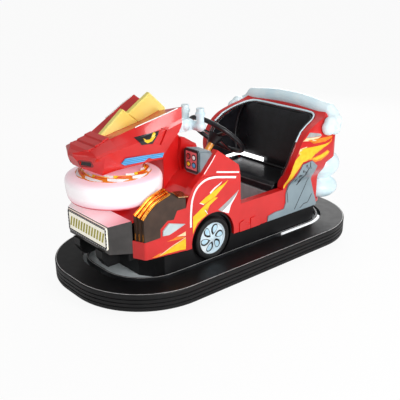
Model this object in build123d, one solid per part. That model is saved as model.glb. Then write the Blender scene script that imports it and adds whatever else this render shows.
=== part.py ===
from build123d import *

import math
import os

# Two-seat battery bumper car with a dragon's head, for a fairground or an indoor arena.
#
# +X is forward, +Y is the car's left, +Z is up. The origin is on the floor under the middle of the bumper.
# Units are millimetres. The car stands on one steered drive wheel in front and two fixed rear wheels. A steel
# deck carries the rubber bumper, a black skirt, the moulded red body, the seat and the dragon.

# ---- Clearances ---------------------------------------------------------------------------------------
GAP = 0.3  # between pieces that are screwed or set together
RUN = 0.3  # round a shaft that turns
SEAM = 0.4  # along the stepped joint between a cheek and its claws

# ---- Bumper, deck and skirt ---------------------------------------------------------------------------
bumper_length = 1950
bumper_width = 1000
bumper_corner = 440  # plan radius of the bumper's four corners
bumper_section = 150  # from the inner to the outer face
bumper_bottom = 50
bumper_height = 100
groove_depth = 5
groove_width = 6

deck_z = 112  # underside of the deck plate
deck_plate = 8
hoop_inset = 25  # from the bumper's inner face to the steel hoop
hoop_plate = 9
hoop_height = 36
light_width = 14
light_height = 34

skirt_wall = 10
skirt_front = 654
skirt_rear = -722

# ---- Body ---------------------------------------------------------------------------------------------
body_inset = 20  # from the bumper's inner face to the body's sides
body_bottom = 262
wall = 45  # double-skinned sides and tub
sheet = 12  # hood and dash moulding
shoulder = 6  # how far the fender stands proud of the cowl's side

seam_x = 455  # between fender and cheek
tub_x = -290  # between sill and rear tub
opening_x = 58  # front edge of the side opening
sill_top = 432
tub_crest = 880
tub_rear = -700
tub_back = 70  # plan radius of the tub's rear corners
tail_x = -600  # tub's rear face below the quarters
tail_top = 285  # shelf behind it
tail_half = 300
tail_corner = 90

arch_x = 262
arch_gap = 36  # from the side tyre to the wheel arch
well_gap = 5
well_plate = 8
side_tyre_radius = 119
side_rim_radius = 92
side_wheel_depth = 36
rim_slots = 6

floor_z = 244
floor_plate = 8
seat_front = -262
seat_base_top = 395
cushion_rise = 60
seat_panel = 8
lining = 12

# ---- Front --------------------------------------------------------------------------------------------
box_rear = 750  # grille box behind the number plate
box_front = 850
box_bottom = 312
box_taper = 65  # how far each side of the box comes in towards its front
plate_width = 380
plate_height = 124
plate_thickness = 8
foot_spacing = 222
foot_width = 64

claw_count = 3
claw_step = 22
claw_rise = 7
claw_reach = 8

drum_x = 672
drum_radius = 262
drum_bottom = 545
drum_height = 145
stand_radius = 76
wreath_radius = 166
wreath_height = 13
wreath_tongues = 26
tongue = 24

neck_width = 240
box_inside = 201  # control box on the cowl
horn_root = 860  # the horns' lowest point, inside the head
horn_thickness = 36
skin = 4  # eye and teeth panels on the head

collar_radius = 34
puff_radius = 63
puff_length = 744
plate_skin = 7  # grey plates on the quarters

# ---- Steering and running gear ------------------------------------------------------------------------
steering_centre = (-54, 0, 745)
steering_lean = 42  # of the column from the vertical, in degrees
steering_radius = 175
steering_grip = 14
shaft_radius = 11
jacket_radius = 18

drive_x = 430
drive_radius = 105
drive_width = 60
drive_axle_radius = 8
kingpin_radius = 16
fork_gap = 6  # between the wheel and each fork blade
fork_blade = 8
turntable_radius = 150

rear_axle_x = -500
rear_wheel_y = 215
rear_radius = 100
rear_width = 50
rear_axle_radius = 10

# ---- Sizes that follow from the ones above ------------------------------------------------------------
inner_length = bumper_length - 2 * bumper_section
inner_width = bumper_width - 2 * bumper_section
inner_corner = bumper_corner - bumper_section
bumper_top = bumper_bottom + bumper_height
deck_top = deck_z + deck_plate
skirt_inset = hoop_inset + hoop_plate + GAP
skirt_side = inner_width / 2 - skirt_inset
body_side_y = inner_width / 2 - body_inset
inside_y = body_side_y - wall
claw_inside_y = body_side_y - claw_count * claw_step
box_half = body_side_y - 68
arch_z = deck_top + hoop_height + 2 + side_tyre_radius
arch_radius = side_tyre_radius + arch_gap
well_radius = arch_radius - well_gap
well_back_y = inside_y + 1
well_face_y = well_back_y + well_plate

SIDES = (("left", 1), ("right", -1))


# ---- Helpers ------------------------------------------------------------------------------------------
def oval(inset):
    """Plan outline that far inside the bumper's inner face."""
    return RectangleRounded(inner_length - 2 * inset, inner_width - 2 * inset, inner_corner - inset)


def oval_slab(inset, z, height):
    return extrude(Pos(0, 0, z) * oval(inset), height)


def side_face(outline):
    """Face in the XZ plane from a list of (x, z)."""
    return make_face(Polyline(*[(x, 0, z) for x, z in outline], close=True))


def slab(outline, y_low, y_high):
    """Side outline, (x, z), given a thickness from y_low to y_high."""
    return extrude(Pos(0, y_low, 0) * side_face(outline), y_high - y_low, dir=(0, 1, 0))


def plan_face(outline):
    return make_face(Polyline(*outline, close=True))


def plan_slab(outline, z_low, z_high):
    """Plan outline, (x, y), given a height."""
    return extrude(Pos(0, 0, z_low) * plan_face(outline), z_high - z_low)


def both_sides(half_outline):
    """Closed outline, (x, y), from its left half."""
    return half_outline + [(x, -y) for x, y in reversed(half_outline)]


def mirrored(half):
    """A left half and its mirror image as one."""
    return half + mirror(half, Plane.XZ)


def on_side(solid, sign):
    """The solid as drawn for the left side, or its mirror image."""
    return solid if sign > 0 else mirror(solid, Plane.XZ)


def axial(radius, height, centre, axis="Y"):
    """Cylinder centred on a point, along X, Y or Z."""
    turn = {"X": Rot(0, 90, 0), "Y": Rot(90, 0, 0), "Z": Rot(0, 0, 0)}[axis]
    return Pos(*centre) * turn * Cylinder(radius, height)


def box(x_range, y_range, z_range):
    (x0, x1), (y0, y1), (z0, z1) = x_range, y_range, z_range
    return Pos((x0 + x1) / 2, (y0 + y1) / 2, (z0 + z1) / 2) * Box(x1 - x0, y1 - y0, z1 - z0)


def wheel(profile, centre):
    """Turned body about an axle along Y, from (radius, y) pairs."""
    return Pos(*centre) * revolve(plan_face(profile), Axis.Y)


def fused(solids):
    whole = solids[0]
    for solid in solids[1:]:
        whole += solid
    return whole


# ---- Bumper, deck and skirt ---------------------------------------------------------------------------
def bumper_ring():
    plan = RectangleRounded(bumper_length, bumper_width, bumper_corner)
    ring = extrude(Pos(0, 0, bumper_bottom) * plan, bumper_height)
    ring = fillet(ring.edges().filter_by(lambda e: abs(e.center().Z - bumper_top) < 0.1), 6)
    ring = fillet(ring.edges().filter_by(lambda e: abs(e.center().Z - bumper_bottom) < 0.1), 12)
    ring -= oval_slab(0, bumper_bottom - 1, bumper_height + 2)
    cut_length, cut_width = bumper_length - 2 * groove_depth, bumper_width - 2 * groove_depth
    groove = RectangleRounded(bumper_length + 20, bumper_width + 20, bumper_corner + 10)
    groove -= RectangleRounded(cut_length, cut_width, bumper_corner - groove_depth)
    for share in (0.28, 0.5, 0.72):
        z = bumper_bottom + share * bumper_height - groove_width / 2
        ring -= extrude(Pos(0, 0, z) * groove, groove_width)
    return ring


def chassis_deck():
    """Deck plate with a round opening for the drive and slots for the rear wheels."""
    plate = oval_slab(GAP, deck_z, deck_plate)
    plate -= axial(turntable_radius, 60, (drive_x, 0, deck_z), "Z")
    for _, sign in SIDES:
        slot = Box(2 * rear_radius + 30, rear_width + 26, 60)
        plate -= Pos(rear_axle_x, sign * rear_wheel_y, deck_z) * slot
    return plate


def deck_hoop():
    """Upstanding steel hoop on the deck, round the skirt."""
    z = deck_top + GAP
    return oval_slab(hoop_inset, z, hoop_height) - oval_slab(hoop_inset + hoop_plate, z, hoop_height)


def light_bars():
    """Lit strips in the slot between bumper and hoop, beside the seat."""
    z = deck_top + GAP
    strip_inset = (hoop_inset - light_width) / 2
    ring = oval_slab(strip_inset, z, light_height) - oval_slab(strip_inset + light_width, z, light_height)
    reach = (-690, -290)
    return ring & fused([box(reach, (200, 500), (0, 300)), box(reach, (-500, -200), (0, 300))])


def skirt_plan(inset):
    """Skirt's plan, inside the hoop and with its ends drawn in, that far from its outer face."""
    half = [
        (skirt_front, 165), (skirt_front - 50, 240), (skirt_front - 130, 600), (skirt_rear + 130, 600),
        (skirt_rear + 130, 330), (skirt_rear + 60, 250), (skirt_rear, 180),
    ]
    plan = oval(skirt_inset) & plan_face(both_sides(half))
    return offset(plan, -inset, kind=Kind.INTERSECTION) if inset else plan


def skirt():
    """Black skirt between deck and body, with a round well for each side wheel."""
    z_low, height = deck_top + GAP, body_bottom - deck_top - 2 * GAP
    shell = extrude(Pos(0, 0, z_low) * skirt_plan(0), height)
    shell -= extrude(Pos(0, 0, z_low) * skirt_plan(skirt_wall), height)
    depth = skirt_side - well_back_y
    for _, sign in SIDES:
        middle = (arch_x, sign * (well_back_y + depth / 2), arch_z)
        shell -= axial(well_radius - well_plate / 2, depth + 20, middle)
        pan = axial(well_radius, depth, middle)
        pan -= axial(well_radius - well_plate, depth, (arch_x, middle[1] + sign * well_plate, arch_z))
        shell += pan
    return shell


# ---- Body ---------------------------------------------------------------------------------------------
hood_line = [
    (box_rear - GAP, 492), (470, 500), (448, 520), (430, 552), (402, 588), (366, 616), (334, 640),
    (228, 756), (80, 650), (70, 612), (66, 470),
]
hood_under = [
    (66 + sheet, 470), (70 + sheet, 608), (90, 642), (227, 738), (324, 632), (356, 607), (391, 580),
    (418, 545), (437, 513), (462, 500 - sheet), (box_rear - GAP, 492 - sheet),
]


def above_hood(solid):
    """The solid with whatever lies under the hood's upper surface cut away."""
    filled = slab(hood_line + [(66, 200), (box_rear - GAP, 200)], -body_side_y, body_side_y)
    return solid - Pos(0, 0, GAP) * filled


def body_side(sign):
    """Fender, cowl side and sill in one moulding, with the wheel arch."""
    rear_x = tub_x + GAP
    low = [(opening_x, sill_top), (rear_x, sill_top), (rear_x, body_bottom), (seam_x, body_bottom)]
    crest = [(seam_x, 500), (444, 538), (429, 570), (407, 604), (372, 632)]
    top = [(340, 654), (229, 773), (74, 663), (62, 619)]
    cowl = slab(low + crest + top, inside_y, body_side_y - shoulder)
    fender = slab(low + crest + [(330, 648), (245, 636), (64, 606)], inside_y, body_side_y)
    part = cowl + fender
    part -= axial(arch_radius, 3 * wall, (arch_x, body_side_y, arch_z))
    tabs = (
        [(65, body_bottom), (66, 316), (28, 329), (14, 300), (-18, 290), (-20, body_bottom)],
        [(-23, body_bottom), (-21, 323), (-60, 328), (-74, 300), (-96, 290), (-98, body_bottom)],
    )
    for tab in tabs:
        part += slab(tab, body_side_y - 2, body_side_y + 5)
    return on_side(part, sign)


def hood():
    """Sheet between the sides: front deck, curve up to the cowl, and the dash that faces the driver."""
    half = inside_y - GAP
    part = slab(hood_line + hood_under, -half, half)
    for _, sign in SIDES:
        y_edge = claw_inside_y - GAP
        strip = box((seam_x, box_rear + 10), (y_edge, y_edge + 100), (400, 600))
        part -= on_side(strip, sign)
    return part - column_rod(jacket_radius + GAP, 0, 400)


# Front edge of the quarters in side view, from the sill to the crest, and the quarter's outer line in front
# view: how far it stands out beyond the body's side, the height and the lean of its surface there in radians.
tub_edge = [
    (-280, 500), (-284, 568), (-310, 645), (-352, 710), (-412, 762), (-471, 788), (-550, 812), (-622, 838),
]
tub_flare = [
    (38, 505, -0.45), (66, 575, -0.22), (74, 650, 0.0), (67, 724, 0.2), (44, 790, 0.5), (8, 843, 0.85),
    (-50, 873, 1.25), (-140, tub_crest, 1.55),
]
tub_wall = [(-560, 200), (-560, 440), (-640, 860), (-640, 1000)]  # inner face behind the back rest


def tub_bar(inset):
    """Left half of the tub's front view, that far inside its outer face, drawn out over its whole length."""
    hip, base = (0, body_side_y - inset, sill_top), (0, body_side_y - inset, body_bottom + inset)
    crest = (0, 0, tub_crest - inset)
    flare = [
        (0, body_side_y + out - inset * math.cos(lean), z - inset * math.sin(lean)) for out, z, lean in tub_flare
    ]
    crown = Spline(hip, *flare, crest, tangents=((0, 0, 1), (0, -1, 0)))
    section = make_face([crown, Polyline(crest, (0, 0, base[2]), base, hip)])
    return extrude(Pos(-900, 0, 0) * section, 900, dir=(1, 0, 0))


def tub_half():
    """Left half of the rear tub's outer form, uncut."""
    hip, crest = (tub_x, 0, sill_top), (tub_rear + 48, 0, tub_crest + 2)
    edge = Spline(hip, *[(x, 0, z) for x, z in tub_edge], crest)
    rest = [
        (tub_rear + 8, tub_crest + 2), (tub_rear, 724), (tub_rear + 10, 622), (tub_rear + 48, 578),
        (tail_x, 556), (tail_x, body_bottom), (tub_x, body_bottom),
    ]
    side = make_face([edge, Polyline(crest, *[(x, 0, z) for x, z in rest], hip)])
    part = extrude(Pos(0, 500, 0) * side, 1000, dir=(0, -1, 0)) & tub_bar(0)
    half = body_side_y + max(out for out, _, _ in tub_flare)
    return part & extrude(RectangleRounded(-2 * tub_rear, 2 * half, tub_back), 1000)


def tail():
    """Shelf behind the tub, over the rear of the skirt."""
    reach = -skirt_rear - 6
    plan = RectangleRounded(2 * reach, 2 * tail_half, tail_corner)
    shelf = extrude(Pos(0, 0, body_bottom) * plan, tail_top - body_bottom)
    return shelf & box((-reach - 10, tail_x + 1), (-500, 500), (0, 500))


def rear_tub():
    """Tub round the seat: two quarters joined by the wall behind the back rest, with a shelf behind."""
    front = [(0, 200)] + tub_wall + [(0, 1000)]
    upper = slab(front, -1, 500) & tub_bar(wall)
    lower = slab(front, -1, inside_y) & box((-900, 0), (-400, 400), (200, sill_top + 1))
    return mirrored(tub_half() - upper - lower) + tail()


def floor_pan():
    """Foot floor with an upright toe board."""
    under = floor_z - floor_plate
    back = seat_front + GAP
    outline = [
        (back, under), (back, floor_z), (66, floor_z), (66, 470 - GAP), (66 + floor_plate, 470 - GAP),
        (66 + floor_plate, under),
    ]
    return slab(outline, GAP - inside_y, inside_y - GAP)


def seat_box():
    """Riser under the cushion, open below."""
    half = inside_y - GAP
    low, rear = floor_z + 1, -560 + GAP
    outer = slab([(seat_front, low), (seat_front, seat_base_top), (rear, seat_base_top), (rear, low)], -half, half)
    t = seat_panel
    inner = box((rear + t, seat_front - t), (-half + t, half - t), (low - 20, seat_base_top - t))
    return outer - inner


def seat_cushion():
    half = inside_y - lining - 2 * GAP
    low = seat_base_top + GAP
    top = seat_base_top + cushion_rise
    nose, rear = seat_front + 6, -560 + GAP
    outline = [(nose, low), (nose, top - 22), (nose - 20, top), (rear, top + 12), (rear, low)]
    return slab(outline, -half, half)


def wall_x(z):
    """Where the tub's inner rear wall is at that height."""
    (x0, z0), (x1, z1) = tub_wall[1:3]
    return x0 + (x1 - x0) * (z - z0) / (z1 - z0)


def back_face(z):
    """Front of the back rest at that height."""
    return wall_x(z) + 62


def seat_back():
    low, high = seat_base_top + cushion_rise + 14, 900
    outline = [
        (back_face(low), low), (back_face(560) + 4, 560), (back_face(780), 780), (back_face(high) - 14, high),
        (wall_x(high) + 2 * GAP, high), (wall_x(low) + 2 * GAP, low),
    ]
    return mirrored(slab(outline, 0, 500) & tub_bar(wall + 2 * GAP))


def side_lining(sign):
    """Black panel on the inside of each quarter."""
    low = seat_base_top + GAP
    outline = [
        (seat_front - 14, low), (-296, 440), (-292, 500), (-297, 568), (-322, 642), (-362, 702), (-420, 750),
        (-478, 776), (-556, 800), (back_face(800) + 1, 806), (back_face(560) + 5, 560),
        (back_face(500) + 4, 500), (-500, seat_base_top + cushion_rise + 13), (-540, low),
    ]
    band = tub_bar(wall + GAP) - tub_bar(wall + lining)
    flared = slab(outline, 20, 500) & band & box((-900, 0), (0, 500), (sill_top, 900))
    straight = slab(outline, inside_y - lining, inside_y - GAP) & box((-900, 0), (0, 500), (300, sill_top))
    return on_side(flared + straight, sign)


# ---- Front --------------------------------------------------------------------------------------------
cheek_line = [(seam_x + GAP, 506), (513, 506), (535, 463), (576, 467), (622, 434), (624, 385)]


def cheek(sign):
    """Red corner in front of the fender. In plan it turns in to meet the grille box."""
    outline = [(seam_x + GAP, body_bottom + 2)] + cheek_line + [(756, 385), (756, 288), (722, 288)]
    plan = [
        (seam_x, body_side_y), (722, body_side_y), (752, box_half), (700, box_half), (700, inside_y),
        (seam_x, inside_y),
    ]
    form = plan_slab(plan, 0, 600)
    form = fillet(form.edges().filter_by(Axis.Z).filter_by(lambda e: e.center().X == 722), 16)
    return on_side(slab(outline, 0, body_side_y + 50) & form, sign)


def claw(sign):
    """Stepped plates over the corner, each one further in standing higher and further forward."""
    low = [(x + SEAM, z + SEAM) for x, z in reversed(cheek_line)]
    plates = []
    for step in range(claw_count):
        rise, reach = claw_rise * step, claw_reach * step
        high = [
            (seam_x + 1, 560 + rise), (503, 572 + rise), (553, 602 + rise), (640, 575 + rise), (690, 540 + rise),
            (724 + reach, 505 + rise), (724 + reach, 385 + SEAM),
        ]
        y_high = body_side_y - claw_step * step
        plates.append(slab(low + high, y_high - claw_step, y_high))
    lamp_room = axial(drum_radius + 1.5, 2 * drum_height, (drum_x, 0, drum_bottom + drum_height), "Z")
    return on_side(fused(plates) - lamp_room, sign)


def headlights():
    outline = [(612, 393), (611, 421), (570, 453), (463, 420), (535, 398), (572, 388)]
    lens = slab(outline, body_side_y + GAP, body_side_y + 8)
    lens = chamfer(lens.faces().sort_by(Axis.Y)[-1].edges(), 3)
    return lens + mirror(lens, Plane.XZ)


def grille_box():
    """Tapered nose box that carries the number plate."""
    profile = slab([(box_rear, box_bottom), (box_front, box_bottom), (box_front, 462), (box_rear, 490)], -400, 400)
    plan = both_sides([(box_rear, box_half), (box_front, box_half - box_taper)])
    return profile & plan_slab(plan, 0, 600)


def number_plate():
    centre = (box_front + GAP + plate_thickness / 2, 0, 396)
    plate = Pos(*centre) * Box(plate_thickness, plate_width, plate_height)
    return fillet(plate.edges().filter_by(Axis.X), 10)


def chin():
    """Black filler under the nose box, on the front of the skirt."""
    plan = both_sides([(640, box_half - 6), (758, box_half - 30)])
    return plan_slab(plan, body_bottom, box_bottom - GAP)


def tow_feet():
    high = box_bottom - GAP
    outline = [(862, high), (862, 268), (832, 218), (764, 218), (758 + GAP, 226), (758 + GAP, high)]
    foot = slab(outline, -foot_width / 2, foot_width / 2)
    return Pos(0, foot_spacing / 2, 0) * foot + Pos(0, -foot_spacing / 2, 0) * foot


# ---- Dragon -------------------------------------------------------------------------------------------
# Cross-sections of the head from snout to nape: x, then half width and height at the jaw's lower edge, the
# lip, the cheek's upper edge, the crown's edge and the valley between the crowns.
head_sections = [
    (917, (24, 761), (27, 812), (25, 818), (20, 824), (10, 824)),
    (856, (56, 730), (150, 812), (140, 820), (92, 838), (22, 838)),
    (808, (110, 706), (155, 821), (143, 831), (92, 853), (22, 852)),
    (740, (130, 722), (160, 834), (146, 846), (91, 876), (22, 872)),
    (600, (160, 736), (178, 862), (166, 878), (138, 928), (22, 899)),
    (490, (185, 752), (200, 890), (190, 908), (177, 967), (22, 921)),
    (370, (190, 800), (222, 932), (218, 950), (212, 1008), (22, 958)),
]
jaw_front = [(930, 830), (917, 806), (885, 745), (864, 700), (930, 700)]  # the snout's front leans back below the lip
nape_line = [(490, 752), (393, 877), (382, 909), (376, 1010)]
pad_height = 26
snout_steps = [(826, 850, 86), (784, 867, 84)]  # front x, height and half width
eye_slot = [(494, 912), (466, 900), (500, 822), (526, 834)]
slot_depth = 9
nostril = (62, 26)


def head_form():
    faces = []
    for x, *half in head_sections:
        ring = [(x, y, z) for y, z in half] + [(x, -y, z) for y, z in reversed(half)]
        faces.append(make_face(Polyline(*ring, close=True)))
    return loft(faces, ruled=True) - slab(jaw_front, -200, 200)


def dragon_head():
    form = head_form()
    pad = plan_slab(both_sides([(902, 20), (864, 88), (830, 88)]), 806, 900)
    part = form + (pad & slab([(910, 800), (910, 818), (870, 818 + pad_height), (820, 852), (820, 800)], -100, 100))
    for x, z, half in snout_steps:
        step = [(x, z - 34), (x, z), (x - 5, z + 8), (x - 42, z + 17), (x - 42, z - 34)]
        part += slab(step, -half, half)
    part -= slab(nape_line + [(300, 1010), (300, 600), (490, 600)], -260, 260)
    hollow = slab(eye_slot, 20, 260) - Pos(0, -slot_depth, 0) * form
    cheek_turn = math.degrees(math.atan2(917 - 856, 130 - 27))
    hollow += Pos(884, 78, 772) * Rot(0, 0, cheek_turn) * Box(26, *nostril)
    return part - hollow - mirror(hollow, Plane.XZ)


def horn(outline):
    """Flat horn with bevelled edges that stands in the valley of the head."""
    part = slab(outline, -horn_thickness / 2, horn_thickness / 2)
    slopes = part.faces().filter_by(lambda f: abs(f.normal_at().Y) > 0.9)
    edges = [e for f in slopes for e in f.edges() if e.bounding_box().min.Z > horn_root and e.length > 50]
    return chamfer(edges, 6) - Pos(-GAP, 0, GAP) * dragon_head()


front_horn_line = [(752, horn_root), (748, 880), (602, 992), (511, 915), (511, horn_root)]
rear_horn_line = [(602, horn_root), (602, 949), (431, 1056), (336, 968), (336, horn_root)]


def rear_horn():
    return horn(rear_horn_line) - Pos(-GAP, 0, 0) * slab(front_horn_line, -50, 50) - Pos(0, 0, GAP) * neck()


def on_head(outline, thickness):
    """Panel of that outline that follows both sides of the head."""
    form = head_form()
    left = slab(outline, 20, 260) & (Pos(0, thickness, 0) * form)
    left -= Pos(0, GAP, 0) * form
    return left + mirror(left, Plane.XZ)


def eyes():
    return on_head([(639, 880), (510, 899), (549, 838), (609, 840)], skin)


def teeth():
    outline = [(718, 758), (696, 783), (485, 780), (494, 757), (546, 757), (570, 766), (593, 750), (699, 745)]
    return on_head(outline, 2 * skin)


def neck():
    """Neck from the cowl to the nape, hollowed in front round the lamp."""
    outline = [(478, 520), (486, 700), (490 - GAP, 752), (393 - GAP, 877), (344, 852), (300, 790), (300, 600)]
    collar = [(322, 560), (338, 700), (330, 826), (300, 818), (246, 784), (224, 773), (226, 600)]
    part = slab(outline, -neck_width / 2, neck_width / 2)
    block = slab(collar, -neck_width / 2 - 26, neck_width / 2 + 26)
    part += chamfer(block.edges().filter_by(lambda e: e.center().Z > 770 and abs(e.center().Y) > 140), 10)
    part = above_hood(part)
    return part - axial(drum_radius + 4, 2 * drum_height + 60, (drum_x, 0, drum_bottom), "Z")


def lamp_drum():
    rim, top = drum_radius, drum_bottom + drum_height
    profile = [
        (0, drum_bottom), (rim - 37, drum_bottom), (rim - 8, drum_bottom + 35), (rim, drum_bottom + 80),
        (rim - 14, drum_bottom + 115), (rim - 60, top - 14), (wreath_radius, top), (0, top),
    ]
    return Pos(drum_x, 0, 0) * revolve(side_face(profile), Axis.Z)


def lamp_stand():
    z_low = 470
    post = axial(stand_radius, drum_bottom - GAP - z_low, (drum_x, 0, (drum_bottom - GAP + z_low) / 2), "Z")
    return above_hood(post)


def flame_wreath():
    """Ring of flame tongues that lie round the top of the lamp, all swept one way."""
    outline = []
    for i in range(wreath_tongues):
        reach = tongue if i % 2 else 0.6 * tongue
        for turn, out in ((0.0, 0), (0.55, 0.35 * reach), (1.15, reach), (0.95, 0.3 * reach)):
            angle = 2 * math.pi * (i + turn) / wreath_tongues
            radius = wreath_radius - 10 + out
            outline.append((radius * math.cos(angle), radius * math.sin(angle)))
    ring = plan_slab(outline, 0, wreath_height) - axial(wreath_radius - 26, 60, (0, 0, 0), "Z")
    return Pos(drum_x, 0, drum_bottom + drum_height + GAP) * ring


def light_stacks():
    """Pair of pale pipes on a lobed foot that reaches back from the neck."""
    foot = box((140, 340), (-28, 28), (814, 850)) + axial(26, 130, (129, 0, 832), "Y")
    for x, y, z, r in (
        (129, -66, 836, 32), (129, 66, 836, 30), (152, -8, 838, 34), (196, 5, 842, 36), (180, -44, 846, 30),
        (236, -6, 848, 38), (280, 3, 858, 36),
    ):
        foot += Pos(x, y, z) * Rot(20, 70, 10) * Sphere(r)
    for _, sign in SIDES:
        foot += axial(22, 90, (129, sign * 66, 893), "Z")
        foot += axial(28, 14, (129, sign * 66, 905), "Z")
    return foot - Pos(-GAP, 0, GAP) * neck()


def control_box():
    """Wedge on the left of the cowl, its sunk panel facing forward."""
    low, high = box_inside, inside_y - GAP
    wedge = slab([(336, 560), (336, 776), (238, 756), (224, 720), (224, 560)], low, high)
    wedge = fillet(wedge.edges().filter_by(lambda e: e.center().X > 335 and e.center().Z > 600), 9)
    panel = box((332, 340), (low + 13, high - 13), (676, 762))
    return above_hood(wedge) - fillet(panel.edges().filter_by(Axis.X), 5)


# ---- Clouds at the rear -------------------------------------------------------------------------------
def clear_of_tub(solid):
    """Left half of a solid, cut back from the tub, and its mirror image."""
    left = solid & box((-1000, 0), (0, 600), (0, 1100))
    return mirrored(left - Pos(-GAP, GAP, GAP) * tub_half() - Pos(-GAP, 0, GAP) * tub_half())


def cloud_collar():
    """Roll arched along the top of the tub that curls down outside each quarter in lobes."""
    sag, reach = 27, body_side_y - 40
    bend = (reach**2 + sag**2) / (2 * sag)
    sweep = 2 * math.degrees(math.asin(reach / bend))
    end = Rot(-sweep / 2, 0, 0) * Pos(0, 0, bend) * Rot(90, 0, 0) * Circle(collar_radius)
    tube = revolve(end, Axis.X, sweep)
    part = Pos(-686, 0, tub_crest - 1 - bend) * tube
    lobes = (
        (-684, -30, 848, 40), (-676, 16, 816, 46), (-668, 56, 800, 42), (-640, 72, 762, 40),
        (-606, 70, 800, 40), (-576, 80, 772, 42), (-690, 42, 764, 36),
    )
    for x, out, z, r in lobes:
        part += Pos(x, body_side_y + out, z) * Sphere(r)
    return clear_of_tub(part)


def cloud_roll(length, radius, lobes):
    """Row of lobes about the Y axis."""
    step = length / lobes
    neck_radius = 0.82 * radius
    lines = [Line((0, -length / 2), (0, length / 2))]
    for i in range(lobes):
        y0 = i * step - length / 2
        first = (0, y0) if i == 0 else (neck_radius, y0)
        last = (0, y0 + step) if i == lobes - 1 else (neck_radius, y0 + step)
        middle = (radius, y0 + step * (0.62 if i == 0 else 0.38 if i == lobes - 1 else 0.5))
        lines.append(ThreePointArc(first, middle, last))
    return revolve(make_face(lines), Axis.Y)


def cloud_puffs():
    """Two fat rolls stacked behind the tub, on its shelf."""
    roll = cloud_roll(puff_length, puff_radius, 5)
    lower = Pos(-722, 0, tail_top + 58) * scale(roll, by=(1.85, 1, 1.08))
    upper = Pos(-724, 0, tail_top + 206) * scale(roll, by=(1.95, 1, 1.42))
    part = clear_of_tub(lower + upper)
    return part - box((-1000, -500), (-600, 600), (0, tail_top + GAP))


# ---- Trim on the sides --------------------------------------------------------------------------------
def machine_plate(sign):
    """Slotted grey plate over the joint between sill and rear tub, bent to follow the quarter."""
    outline = [
        (-159, 266), (-167, 299), (-228, 309), (-300, 309), (-314, 345), (-310, 400), (-334, 480), (-372, 588),
        (-452, 597), (-512, 552), (-508, 512), (-556, 380), (-590, 300), (-596, 266),
    ]
    part = slab(outline, 20, 500) & (tub_bar(-plate_skin) - tub_bar(-GAP))
    for row in range(4):
        for column in range(2):
            x, z = -376 - 16 * row - 30 * column, 486 + 24 * row - 8 * column
            part -= Pos(x, body_side_y + 60, z) * Rot(0, 24, 0) * Box(6, 140, 18)
    return on_side(part, sign)


def side_tyre(sign):
    """Tyre of the wheel moulded on the side, which doesn't turn."""
    outer, inner, depth = side_tyre_radius, side_rim_radius, side_wheel_depth
    profile = [
        (inner, 0), (outer - 4, 0), (outer, 5), (outer, depth - 8), (outer - 5, depth - 2), (inner + 14, depth),
        (inner, depth - 5),
    ]
    return on_side(wheel(profile, (arch_x, well_face_y + GAP, arch_z)), sign)


def side_rim(sign):
    """Bladed rim in the side wheel."""
    r, depth = side_rim_radius - GAP, side_wheel_depth - 6
    profile = [(0, 0), (r, 0), (r, depth), (r - 7, depth), (r - 12, depth - 8), (22, depth - 3), (0, depth)]
    rim = revolve(plan_face(profile), Axis.Y)
    tip, root = (r - 22, 20), (26, 0)
    slot = make_face([ThreePointArc(root, (50, -9), tip), ThreePointArc(tip, (48, 13), root)])
    blade_gap = Rot(90, 0, 0) * extrude(slot, 60, both=True)
    for i in range(rim_slots):
        rim -= Rot(0, i * 360 / rim_slots, 0) * blade_gap
    return on_side(Pos(arch_x, well_face_y + GAP, arch_z) * rim, sign)


# ---- Steering -----------------------------------------------------------------------------------------
column_axis = (-math.sin(math.radians(steering_lean)), 0, math.cos(math.radians(steering_lean)))


def column_place(distance):
    """Frame on the column's axis, that far below the steering wheel's rim."""
    point = [c - a * distance for c, a in zip(steering_centre, column_axis)]
    return Pos(*point) * Rot(0, -steering_lean, 0)


def column_rod(radius, start, end):
    return column_place((start + end) / 2) * Cylinder(radius, end - start)


def steering_wheel():
    """Rim, three spokes, deep hub and the shaft below it."""
    part = column_place(0) * Torus(steering_radius, steering_grip)
    part += column_place(34) * Cone(26, 46, 56)
    for turn in (60, 180, 300):
        spoke = Pos((40 + steering_radius) / 2, 0, 0) * Box(steering_radius - 36, 24, 8)
        part += column_place(10) * Rot(0, 0, turn) * spoke
    return part + column_rod(shaft_radius, 40, 340)


def column_jacket():
    """Tube the shaft turns in, held by the dash."""
    return column_rod(jacket_radius, 64, 310) - column_rod(shaft_radius + RUN, 50, 330)


def pedal():
    arm = [(-20, floor_z + GAP), (50, floor_z + GAP), (58, 330), (48, 334), (34, 268), (-20, floor_z + 8)]
    return slab(arm, -130, -60)


# ---- Running gear -------------------------------------------------------------------------------------
fork_inside = drive_width / 2 + fork_gap
crown_low = 2 * drive_radius + 10
crown_high = crown_low + 12


def front_fork():
    """Fork with its kingpin and the drive wheel's axle."""
    outside = fork_inside + fork_blade
    part = box((drive_x - 40, drive_x + 40), (-outside, outside), (crown_low, crown_high))
    part += axial(kingpin_radius, 90, (drive_x, 0, crown_high + 44), "Z")
    for _, sign in SIDES:
        blade = slab(
            [(drive_x - 40, crown_low + 1), (drive_x - 22, 74), (drive_x + 22, 74), (drive_x + 40, crown_low + 1)],
            fork_inside, outside,
        )
        part += on_side(blade, sign)
    return part + axial(drive_axle_radius, 2 * outside + 16, (drive_x, 0, drive_radius))


def drive_wheel():
    """Hub-motor wheel with a solid rubber tyre."""
    r, half, bore = drive_radius, drive_width / 2, drive_axle_radius + RUN
    profile = [
        (bore, -half), (34, -half), (40, -half + 8), (r - 30, -half + 8), (r - 24, -half + 2), (r - 8, -half + 2),
        (r, -half + 10), (r, half - 10), (r - 8, half - 2), (r - 24, half - 2), (r - 30, half - 8), (40, half - 8),
        (34, half), (bore, half),
    ]
    return wheel(profile, (drive_x, 0, drive_radius))


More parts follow.
